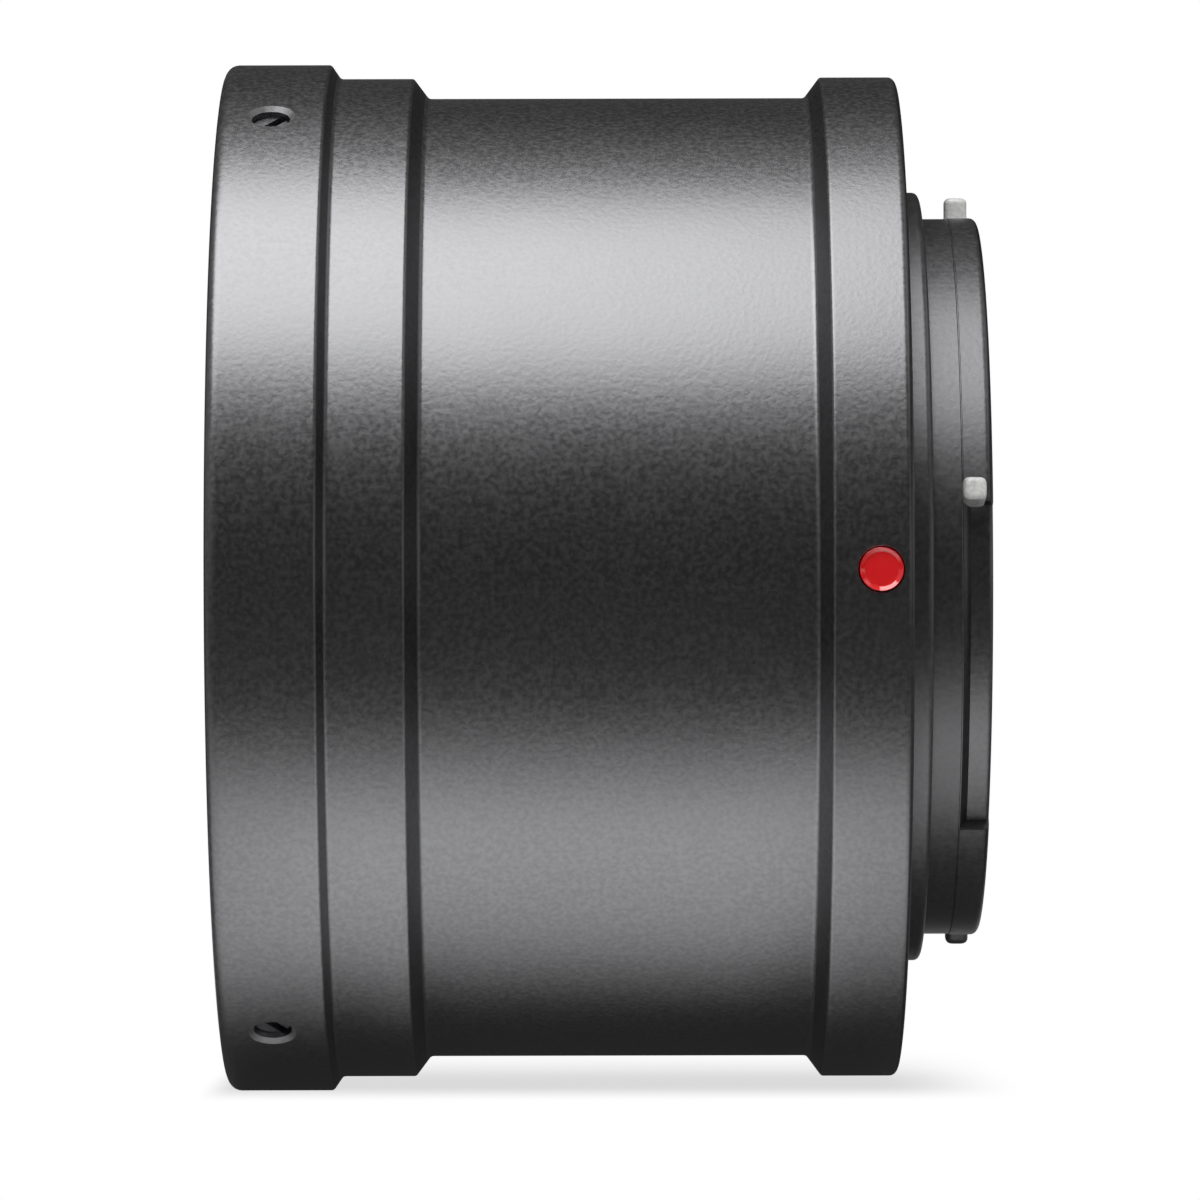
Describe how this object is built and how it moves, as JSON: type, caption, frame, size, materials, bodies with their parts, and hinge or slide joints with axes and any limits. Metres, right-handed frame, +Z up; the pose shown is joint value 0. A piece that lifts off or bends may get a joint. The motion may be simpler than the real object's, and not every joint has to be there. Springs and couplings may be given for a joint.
{
  "type": "t-mount adapter",
  "caption": "Stepped round adapter tube that joins an M42 x 0.75 T thread to a mirrorless camera bayonet, with a clamped turning thread ring.",
  "frame": {"origin": "on the optical axis, in the plane of the seat that lies against the camera", "axes": "+X along the optical axis from the T thread to the camera, +Z up, and the index bead on the -Y side"},
  "size_m": [0.0402, 0.0552, 0.055],
  "materials": {
    "anodised_barrel": "bead-blasted black anodised",
    "anodised_ring": "turned and black anodised",
    "anodised_mount": "satin black anodised",
    "red_enamel": "gloss red",
    "black_steel": "black oxide",
    "bright_steel": "bright ground steel"
  },
  "bodies": {
    "body": {"barrel": "anodised_barrel", "bayonet_mount": "anodised_mount", "index_bead": "red_enamel", "mount_screw_1": "black_steel", "mount_screw_2": "black_steel", "mount_screw_3": "black_steel", "mount_screw_4": "black_steel", "lug_stud_1": "bright_steel", "lug_stud_2": "bright_steel", "lug_stud_3": "bright_steel", "lug_stud_4": "bright_steel"},
    "thread_ring": {"t_thread_ring": "anodised_ring"},
    "upper_grub": {"grub_screw_upper": "black_steel"},
    "lower_grub": {"grub_screw_lower": "black_steel"},
    "back_grub": {"grub_screw_back": "black_steel"}
  },
  "joints": [
    {"name": "thread_ring_turn", "type": "hinge", "parent": "body", "child": "thread_ring", "pos_m": [-0.03275, 0, 0], "axis": [1, 0, 0], "continuous": true},
    {"name": "upper_grub_travel", "type": "slide", "parent": "body", "child": "upper_grub", "axis": [0, -0.5, 0.866], "range_m": [0, 0.0009]},
    {"name": "lower_grub_travel", "type": "slide", "parent": "body", "child": "lower_grub", "axis": [0, -0.5, -0.866], "range_m": [0, 0.0009]},
    {"name": "back_grub_travel", "type": "slide", "parent": "body", "child": "back_grub", "axis": [0, 1, 0], "range_m": [0, 0.0009]}
  ]
}
